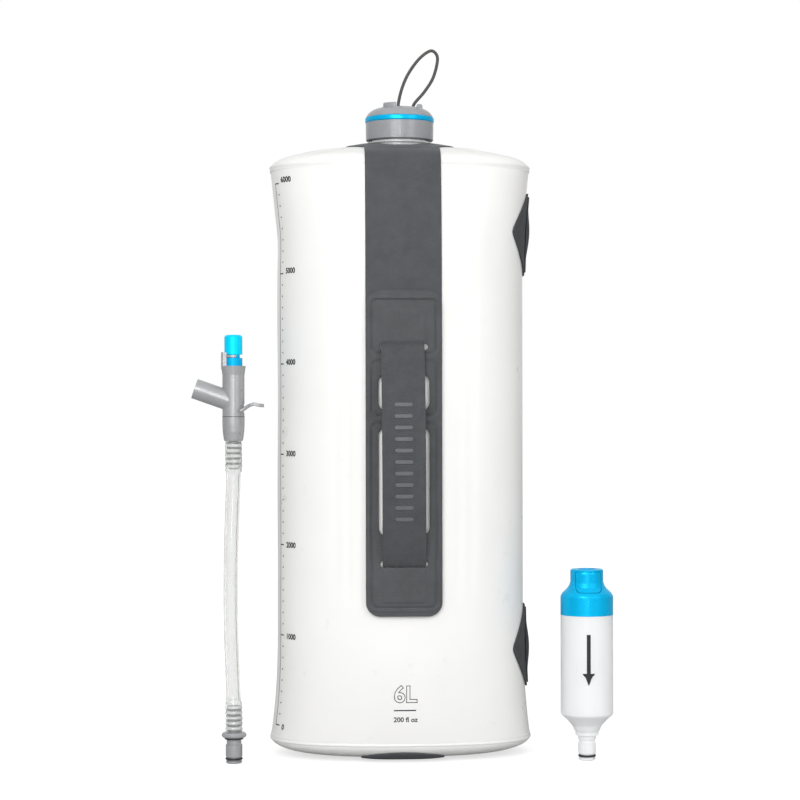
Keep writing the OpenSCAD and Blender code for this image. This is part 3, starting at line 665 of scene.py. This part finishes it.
def rect_gap(x, z, half, z0, z1, r):
    """Signed distance to a rounded rectangle, negative inside."""
    qx = np.abs(x) - (half - r)
    qz = np.abs(z - (z0 + z1) / 2) - ((z1 - z0) / 2 - r)
    return np.hypot(np.maximum(qx, 0), np.maximum(qz, 0)) + np.minimum(np.maximum(qx, qz), 0) - r


PAD_FRAMES = ((273.6, 309.8), (232.4, 268.9), (104.4, 227.7))


def pad_relief(x, z):
    """Embossed relief of the pad's face: three framed fields, and the webbing's ends felt through it."""
    h = np.zeros_like(x)
    for z0, z1 in PAD_FRAMES:
        gap = rect_gap(x, z, 21.9, z0, z1, 4.0)
        h -= 0.6 * np.exp(-((gap + 0.4) / 0.8) ** 2)
        h += 0.3 * np.exp(-((gap - 1.3) / 0.9) ** 2)
    for z0, z1 in ((HANDLE_Z[1] + 2.4, 303.5), (108.0, HANDLE_Z[0] - 2.4)):
        gap = rect_gap(x, z, HANDLE_W / 2, z0, z1, 1.5)
        h += 0.5 * (1 - smooth_step(gap, -1.2, 0.8))
    return h


def make_pad(name, rear, stands_for):
    loops = [rounded_rect(0, sum(PAD_Z) / 2, STRAP_W, PAD_Z[1] - PAD_Z[0], 9.6, 12)]
    loops += [rounded_rect(0, (a + b) / 2, WINDOW_W, b - a, 6) for a, b in WINDOWS_Z]
    loops += [rounded_rect(0, z, SLIT_W, SLIT_H, 2.1) for z in (HANDLE_Z[0], HANDLE_Z[1] - 0.7)]
    def warp(u, v, h):
        out = PAD_OFF + PAD_T / 2 + h + np.where(h > 0, pad_relief(u, v), 0)
        return turned(np.stack([u, -skin_y(u, v) - out, v], -1), rear)
    obj = mapped_plate(name, loops, PAD_T, 0.45, (1.0, 1.2), warp, PAD_M, "bag")
    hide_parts(stands_for)


make_pad("pad_front", False, "front_pad")
make_pad("pad_rear", True, "rear_pad")


def lean(z):
    """The webbing leans a little: sideways shift at height z."""
    return HANDLE_LEAN * (z - HANDLE_Z[0]) / (HANDLE_Z[1] - HANDLE_Z[0])


def handle_line(d):
    """The webbing's line in depth and height, from slit to slit, moved out by d."""
    half, mid = (HANDLE_Z[1] - HANDLE_Z[0]) / 2, sum(HANDLE_Z) / 2
    points = [(HANDLE_FOOT + 0.1, HANDLE_Z[0] - 0.5), (HANDLE_FOOT + 1.6, HANDLE_Z[0] - 0.4)]
    for share in np.linspace(0.012, 0.988, 29):
        s = 2 * share - 1
        points.append((HANDLE_FOOT + 2.2 + HANDLE_RISE * math.cos(math.pi / 2 * s) ** 0.8, mid + half * s))
    points += [(HANDLE_FOOT + 1.6, HANDLE_Z[1] + 0.6), (HANDLE_FOOT + 0.1, HANDLE_Z[1] + 0.7)]
    line = smooth_line(points, 4)
    run = np.gradient(line, axis=0)
    run /= np.linalg.norm(run, axis=1)[:, None]
    return line + d * np.stack([run[:, 1], -run[:, 0]], -1)


def make_handle(name, rear, stands_for):
    columns = np.linspace(-HANDLE_W / 2, HANDLE_W / 2, HANDLE_COLUMNS)
    rib = 0.15 * np.exp(-((np.abs(columns) - HANDLE_W / 2 + 1.0) / 0.4) ** 2)
    def grid(d, ribbed):
        line = handle_line(d)
        rows = np.zeros((len(line), HANDLE_COLUMNS, 3))
        rows[..., 0] = columns + lean(line[:, 1:])
        rows[..., 1] = -line[:, :1] - (rib if ribbed else 0)
        rows[..., 2] = line[:, 1:]
        return turned(rows, rear)
    obj = slab(name, grid(0, False), grid(HANDLE_T, True), HANDLE_M, "bag", 0.3)
    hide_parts(stands_for)
    face = handle_line(HANDLE_T)
    for i in range(GRIP_COUNT):
        z = GRIP_LOW_Z + GRIP_STEP * i
        def warp(u, v, h, z=z):
            depth = np.interp(v + z, face[:, 1], face[:, 0])
            return turned(np.stack([u, -depth - 0.2 - h, v + z], -1), rear)
        bar = rounded_rect(lean(z), 0, GRIP_W, GRIP_H, 1.25, 5)
        mapped_plate(f"{name}_grip_{i + 1:02d}", [bar], 0.7, 0.2, (4, 1.2), warp, GRIP_M, "bag")


make_handle("handle_front", False, "front_handle")
make_handle("handle_rear", True, "rear_handle")


def make_neck_patch():
    turns = np.linspace(0, 2 * math.pi, 180, endpoint=False)
    def ring(r, d):
        x, y = r * np.cos(turns), r * np.sin(turns)
        return np.stack([x, y, dome_z(x, y) + d], -1)
    radii = [PATCH_HOLE_R, PATCH_HOLE_R + 0.4, 27, 32, 36, PATCH_R - 0.4, PATCH_R]
    top = [PATCH_GAP + PATCH_T - 0.2] + [PATCH_GAP + PATCH_T] * 4 + [PATCH_GAP + 0.6, PATCH_GAP + 0.25]
    rings = [ring(r, d) for r, d in zip(radii, top)] + [ring(r, PATCH_GAP) for r in radii[::-1]]
    obj = loft("patch_neck", rings, PATCH_M, "bag", True, 50)
    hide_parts("neck_patch")


make_neck_patch()


BASE_STRAP_HALF, BASE_STRAP_REACH, BASE_STRAP_END = 28, 38, 9


def make_base_strap():
    low, high = box_mm("base_strap")
    size = high - low
    turns = np.linspace(math.pi / 2, -math.pi / 2, 25)
    end = [(BASE_STRAP_HALF * math.sin(a), BASE_STRAP_REACH + BASE_STRAP_END * math.cos(a)) for a in turns]
    loops = [end + [(-x, -y) for x, y in end]]
    def warp(u, v, h):
        level = (np.abs(u / half_w(LOW_Z)) ** ROUND + np.abs(v / half_d(LOW_Z)) ** ROUND) ** (1 / ROUND)
        k = np.clip((level - BASE_FLAT) / (1 - BASE_FLAT), 0, 1)
        rise = (LOW_Z - BASE_Z) * (1 - np.sqrt(1 - k * k))
        thin = 1 - 0.6 * np.abs(u / BASE_STRAP_HALF) ** 4
        return np.stack([u, v, size[2] + rise - 0.02 + (h - size[2] / 2) * thin], -1)
    obj = mapped_plate("strap_base", loops, size[2], 0.35, (2, 2), warp, PATCH_M, "bag")
    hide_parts("base_strap")


make_base_strap()


# ---------- gear loops ----------

LOOP_GAP, LOOP_T = 0.3, 1.0
LOOP_HALF = 28.5
LOOP_TIP, LOOP_REACH = 1.5, 32.0
LOOP_ROUND = 0.09
SEW_LINE = 11
TAB_HALF = 26
TAB_NECK, TAB_SPREAD = 3.5, 5.5
TAB_FREE, TAB_RISE = 18, 1.9


def make_loop(place, z_mid):
    heights = LOOP_HALF * np.sin(np.linspace(-math.pi / 2, math.pi / 2, 41))
    share = np.hypot(heights / LOOP_HALF, LOOP_ROUND) / math.hypot(1, LOOP_ROUND)
    reach = LOOP_TIP + LOOP_REACH * (1 - share) ** 0.52
    outline = list(zip(reach, heights)) + list(zip(-reach[::-1], heights[::-1]))
    def warp(u, v, h):
        ribs = 0.18 * np.sin(np.abs(u) / 3.1) ** 2
        relief = np.where(h > 0, ribs - 0.25 * np.exp(-((np.abs(u) - SEW_LINE) / 0.8) ** 2), 0)
        return np.stack([skin_x(u, v + z_mid) + LOOP_GAP + LOOP_T / 2 + h + relief, u, v + z_mid], -1)
    obj = mapped_plate(f"{place}_loop_base", [outline], LOOP_T, 0.3, (1.5, 1.5), warp, LOOP_M, "bag")
    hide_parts(f"{place}_loop_patch")
    ys, zs = np.linspace(-1, 1, 25), np.linspace(z_mid - TAB_HALF, z_mid + TAB_HALF, 81)
    def grid(d):
        across, z = np.meshgrid(ys, zs)
        arch = np.maximum(0, np.cos(math.pi / 2 * (z - z_mid) / TAB_HALF))
        free = np.maximum(0, np.cos(math.pi / 2 * (z - z_mid) / TAB_FREE))
        y = across * (TAB_NECK + TAB_SPREAD * arch ** 0.7)
        off = TAB_RISE * free ** 1.3 * (1 - 0.9 * across ** 4)
        return np.stack([skin_x(y, z) + d + off, y, z], -1)
    near = LOOP_GAP + LOOP_T + 0.15
    tab = slab(f"{place}_loop_band", grid(near), grid(near + LOOP_T), LOOP_M, "bag", 0.25)
    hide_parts(f"{place}_loop_tab")


for place in ("upper", "lower"):
    low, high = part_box(f"{place}_loop_patch")
    make_loop(place, (low.z + high.z) / 2 / MM)


# ---------- pull cord ----------

CORD_ROUTE = [
    (-1, -3, 442.9), (-0.8, -3, 448), (1.5, -3, 457.5), (5.5, -2.5, 467), (11.5, -1.5, 476),
    (17.5, -0.5, 482), (22.5, 0, 484.2), (26, 0.5, 481), (26, 1, 475), (23, 2, 465), (17.2, 2.5, 456),
    (10.4, 3, 448), (9, 3, 442.9)]


def make_cord():
    line = smooth_line(CORD_ROUTE, 30)
    def radius(along, a):
        left, right = np.sin(4 * a + along * 3.4), np.sin(4 * a - along * 3.4)
        return 1.02 + 0.09 * np.maximum(left, right)
    rings, length = tube_rings(line, 24, radius)
    obj = loft("pull_cord", rings, CORD_M, "plug", False, 80)
    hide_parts("cap_cord")


make_cord()


# ---------- drink tube ----------

HOSE_AXIS = [float(v) for v in sum(box_mm("tap_collar"))[:2] / 2]
TUBE_ROUTE = [
    (0, 0, 20.6), (0, 0, 32), (-0.6, 0, 52), (-1.5, 0, 76), (-2, 0, 100), (-2, 0, 124), (-1.6, 0, 148),
    (-0.8, 0, 172), (0, 0, 196), (0, 0, 206), (0, 0, 215.4)]
TUBE_R, BORE_R = 4.75, 3.3


def make_tube():
    line = smooth_line(TUBE_ROUTE, 24) + [HOSE_AXIS[0], HOSE_AXIS[1], 0]
    total = np.linalg.norm(np.diff(line, axis=0), axis=1).sum()
    def swell(along):
        end = np.minimum(along, total - along)
        return 1 - smooth_step(end, 17.5, 24)
    def outer(along, a):
        end = np.minimum(along, total - along)
        return TUBE_R + swell(along) * (0.85 + 0.22 * np.cos(2 * math.pi * (end - 2.2) / 3.5)) + 0 * a
    def inner(along, a):
        return BORE_R + swell(along) * 1.62 + 0 * a
    outside, length = tube_rings(line, 48, outer)
    inside, _ = tube_rings(line, 48, inner)
    obj = loft("drink_tube", np.concatenate([outside, inside[::-1]]), TUBE_M, "hose", True, 60)
    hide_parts("hose_tube")


make_tube()


def turned_ring(name, outline, axis, material, body, steps=72):
    """A closed outline of (radius, height) turned round an upright axis."""
    t = np.linspace(0, 2 * math.pi, steps, endpoint=False)
    rings = []
    for r, z in outline:
        rings.append(np.stack([axis[0] + r * np.cos(t), axis[1] + r * np.sin(t), np.full(steps, z)], -1))
    return loft(name, rings, material, body, True, 40)


BARB_COUNT, BARB_PITCH = 5, 3.5
BARB_OUTLINE = [(3.6, 0.1), (4.45, 0.2), (4.9, 0.6), (4.7, 1.3), (3.6, 1.5)]
# Outline of the white rings between the barbs, which carry a painted highlight of the clear tube.
TUBE_SHINE_OUTLINE = [(4.15, 1.55), (4.85, 1.7), (4.95, 2.5), (4.85, 3.35), (4.15, 3.5)]
PLUG_BARB_Z, COLLAR_BARB_Z = 21.0, 215.2
SEAM_OUTLINE = [(7.0, 231.85), (7.47, 231.85), (7.47, 232.2), (7.0, 232.2)]


def make_barbs(name, low_z, up):
    """Five barbs that show through the tube's end, and white rings between them: the tube's wall gripping
    there, coloured white as a painted highlight of the clear tube.
    """
    # The grip rings are painted highlight: white where the clear tube necks between the barbs.
    kinds = (("barb", BARB_OUTLINE, BARB_M, "grey_plastic"), ("grip", TUBE_SHINE_OUTLINE, TUBE_SHINE_M, "tube"))
    for i in range(BARB_COUNT):
        for kind, outline, look, slot in kinds:
            points = [(r, low_z + up * (BARB_PITCH * i + z)) for r, z in outline]
            turned_ring(f"{name}_{kind}_{i + 1}", points, HOSE_AXIS, look, "hose")


make_barbs("plug", PLUG_BARB_Z, 1)
make_barbs("collar", COLLAR_BARB_Z, -1)
turned_ring("tap_seam", SEAM_OUTLINE, HOSE_AXIS, BLACK_M, "hose")


PADDLE_ROUTE = [(8.6, 0, 238.4), (11.2, 0, 239.9), (13.8, 0, 240.6), (17.2, 0, 239.9), (20.4, 0, 239.6)]
PADDLE_HALF = [2.6, 5.0, 5.6, 5.4, 3.4]
ARM_ROUTE = [(4.6, 8.35, 235.9), (6.6, 8.3, 236.8), (8.6, 7.0, 238.2), (10.2, 4.4, 239.3), (11.6, 2.0, 239.9)]


def make_lever():
    """The thumb lever: a wavy paddle whose two arms hold the barrel."""
    x0, y0 = HOSE_AXIS
    spine = smooth_line(PADDLE_ROUTE, 6)
    half = np.interp(np.linspace(0, 4, len(spine)), range(5), PADDLE_HALF)
    columns = np.linspace(-1, 1, 17)
    def grid(d):
        rows = np.zeros((len(spine), 17, 3))
        rows[..., 0] = x0 + spine[:, :1]
        rows[..., 1] = y0 + columns * half[:, None]
        rows[..., 2] = spine[:, 2:] + d - 0.25 * (1 - columns ** 2)
        return rows
    paddle = slab("lever_paddle", grid(-1.15), grid(1.0), TAP_M, "lever", 0.5)
    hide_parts("tap_lever")
    for side, sign in (("left", -1), ("right", 1)):
        arm = smooth_line(ARM_ROUTE, 6)
        arm = np.array([(x0 + p[0], y0 + sign * p[1], p[2]) for p in arm])
        def radius(along, a):
            return 1.2 + 0.12 * np.cos(2 * a) + 0 * along
        rings, _ = tube_rings(arm, 20, radius, (0, 0, 1))
        loft(f"lever_arm_{side}", rings, TAP_M, "lever", False, 60)


make_lever()


# ---------- prints ----------

def on_skin(z_mid, start, text_points, d=0.07):
    """Points (u, v) laid on the skin. u runs along it towards the front, from the turn start in degrees."""
    t = np.radians(np.linspace(170, 300, 900))
    p = skin(np.full(900, z_mid), t)
    along = np.concatenate([[0], np.cumsum(np.linalg.norm(np.diff(p, axis=0), axis=1))])
    zero = np.interp(math.radians(start), t, along)
    turn = np.interp(text_points[:, 0] + zero, along, t)
    z = text_points[:, 1] + z_mid
    base = skin(z, turn)
    give = film_give(base[:, 0], base[:, 1], base[:, 2])
    return skin(z, turn, d + give)


def print_piece(name, verts, faces):
    mesh = bpy.data.meshes.new(name)
    mesh.from_pydata((verts * MM).tolist(), [], faces)
    mesh.validate()
    return placed(name, mesh, INK_M, "bag", 60)


def strip(z_mid, start, u0, u1, v0, v1, steps=1):
    v = np.linspace(v0, v1, steps + 1)
    points = np.array([(u, w) for w in v for u in (u0, u1)])
    faces = [(2 * i, 2 * i + 1, 2 * i + 3, 2 * i + 2) for i in range(steps)]
    return on_skin(z_mid, start, points), faces


def lettering(words, size, weight=0.0, hollow=0.0):
    """Flat faces of generic figures, centred on their height, as points and faces."""
    font = bpy.data.curves.new("figures", "FONT")
    font.body, font.size, font.align_y, font.resolution_u = words, size, "CENTER", 3
    font.offset = weight
    if hollow:
        font.fill_mode = "NONE"
        font.bevel_depth, font.bevel_resolution = hollow, 0
    holder = bpy.data.objects.new("figures", font)
    bpy.context.scene.collection.objects.link(holder)
    bpy.context.view_layer.update()
    mesh = bpy.data.meshes.new_from_object(holder.evaluated_get(bpy.context.evaluated_depsgraph_get()))
    bpy.data.objects.remove(holder)
    verts = np.array([v.co[:] for v in mesh.vertices])
    faces = [tuple(p.vertices) for p in mesh.polygons]
    bpy.data.meshes.remove(mesh)
    return verts, faces


SCALE_TURN = 194.3
LABEL_TURN = 203.8
TICK_STEP = 1.2
SCALE_Z = [22.2 + 61.35 * i for i in range(7)]


def make_scale():
    verts, faces = [], []
    def add(part):
        points, quads = part
        base = sum(len(v) for v in verts)
        verts.append(points)
        faces.extend(tuple(base + i for i in q) for q in quads)
    for z0, z1 in zip(SCALE_Z[:-1], SCALE_Z[1:]):
        add(strip((z0 + z1) / 2, SCALE_TURN, 0, 0.7, (z0 - z1) / 2, (z1 - z0) / 2, 12))
        for k in range(1, 8):
            add(strip(z0 + (z1 - z0) * k / 8, SCALE_TURN, 4.2, 5.6, -0.42, 0.42))
    for z in SCALE_Z:
        for i in range(5):
            add(strip(z, SCALE_TURN, TICK_STEP * i, TICK_STEP * (i + 1), -0.38, 0.38))
    for i, z in enumerate(SCALE_Z):
        flat, polys = lettering(str(1000 * i), 5.2, 0.2)
        add((on_skin(z - 1.0 + 0.5 * i, LABEL_TURN, flat[:, :2]), polys))
    print_piece("scale_print", np.concatenate(verts), faces)


make_scale()


def front_points(flat, x, z, d=0.07):
    px, pz = flat[:, 0] + x, flat[:, 1] + z
    return np.stack([px, -skin_y(px, pz) - d, pz], -1)


def make_capacity():
    for name, words, size, x, z, weight, hollow in (
            ("capacity_litres", "6L", 15.5, -6.9, 46.2, 0.35, 0.24),
            ("capacity_ounces", "200 fl oz", 4.6, -7.0, 29.4, 0.10, 0.0)):
        flat, polys = lettering(words, size, weight, hollow)
        print_piece(name, front_points(flat, x, z), polys)
    bar = np.array([(-7.4, -0.4), (7.4, -0.4), (7.4, 0.4), (-7.4, 0.4)])
    print_piece("capacity_bar", front_points(bar, 0.6, 35.8), [(0, 1, 2, 3)])


make_capacity()


ARROW_ROWS = [(86.0, 1.3), (60.0, 1.3), (60.0, 4.2), (52.0, 0.05)]


def make_flow_arrow():
    """A plain arrow down the housing: the way the water flows."""
    low, high = box_mm("filter_housing")
    axis, radius = (low + high) / 2, high[0] - (low[0] + high[0]) / 2 + 0.06
    columns = np.linspace(-1, 1, 9)
    rows = ARROW_ROWS
    verts, faces = [], []
    for (za, ha), (zb, hb) in ((rows[0], rows[1]), (rows[2], rows[3])):
        base = len(verts)
        for z, h in ((za, ha), (zb, hb)):
            for c in columns:
                turn = (c * h - 1.0) / radius
                verts.append((axis[0] + radius * math.sin(turn), axis[1] - radius * math.cos(turn), z))
        faces += [(base + i, base + 9 + i, base + 10 + i, base + 1 + i) for i in range(8)]
    obj = print_piece("flow_arrow", np.array(verts), faces)
    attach(obj, "filter")


make_flow_arrow()


# ---------- floor, light ----------

FLOOR_GLOW = 0.66


def seen_straight(tree):
    """1 for what the camera sees straight or through something clear."""
    path = node(tree, "ShaderNodeLightPath")
    return calc(tree, "MAXIMUM", path.outputs["Is Camera Ray"], path.outputs["Is Transmission Ray"])


def make_stage():
    material = bpy.data.materials.new("floor")
    material.use_nodes = True
    bsdf = material.node_tree.nodes["Principled BSDF"]
    bsdf.inputs["Base Color"].default_value = (0.5, 0.5, 0.5, 1)
    bsdf.inputs["Roughness"].default_value = 0.9
    bsdf.inputs["Specular IOR Level"].default_value = 0.0
    bsdf.inputs["Emission Color"].default_value = (1, 1, 1, 1)
    feed(material.node_tree, bsdf.inputs["Emission Strength"],
         calc(material.node_tree, "MULTIPLY", seen_straight(material.node_tree), FLOOR_GLOW))
    mesh = bpy.data.meshes.new("floor")
    r = 12.0
    mesh.from_pydata([(-r, -r, 0), (r, -r, 0), (r, r, 0), (-r, r, 0)], [], [(0, 1, 2, 3)])
    mesh.materials.append(material)
    floor = bpy.data.objects.new("floor", mesh)
    floor.location.z = -0.0002
    bpy.context.scene.collection.objects.link(floor)


def make_world():
    world = bpy.data.worlds.new("studio")
    bpy.context.scene.world = world
    world.use_nodes = True
    tree = world.node_tree
    tree.nodes.clear()
    direction = node(tree, "ShaderNodeTexCoord").outputs["Generated"]
    split = node(tree, "ShaderNodeSeparateXYZ")
    feed(tree, split.inputs[0], direction)
    side = spread(tree, calc(tree, "ABSOLUTE", split.outputs[0]), 0.4, 0.9, 0, 1)
    side.node.interpolation_type = "SMOOTHSTEP"
    tone = blend_colour(tree, side, (0.90, 0.90, 0.90), (0.46, 0.46, 0.46))
    soft = node(tree, "ShaderNodeBackground")
    feed(tree, soft.inputs["Color"], tone)
    plain = node(tree, "ShaderNodeBackground")
    plain.inputs["Color"].default_value = (1, 1, 1, 1)
    mix = node(tree, "ShaderNodeMixShader")
    feed(tree, mix.inputs[0], seen_straight(tree))
    feed(tree, mix.inputs[1], soft.outputs[0])
    feed(tree, mix.inputs[2], plain.outputs[0])
    feed(tree, node(tree, "ShaderNodeOutputWorld").inputs["Surface"], mix.outputs[0])


def make_light(name, place, target, size, power):
    data = bpy.data.lights.new(name, "AREA")
    data.shape, data.size, data.size_y, data.energy = "RECTANGLE", size[0], size[1], power
    obj = bpy.data.objects.new(name, data)
    obj.location = place
    obj.rotation_euler = (Vector(target) - Vector(place)).to_track_quat("-Z", "Y").to_euler()
    bpy.context.scene.collection.objects.link(obj)


make_stage()
make_world()
make_light("key", (-0.6, -1.8, 1.0), (0, 0, 0.25), (0.8, 1.2), 17.0)
make_light("fill", (1.2, -1.5, 0.7), (0, 0, 0.25), (0.6, 1.0), 5.0)
make_light("strip", (-0.05, -2.2, 0.4), (0, 0, 0.25), (0.22, 1.6), 11.0)
bpy.context.scene.view_settings.view_transform = "Standard"
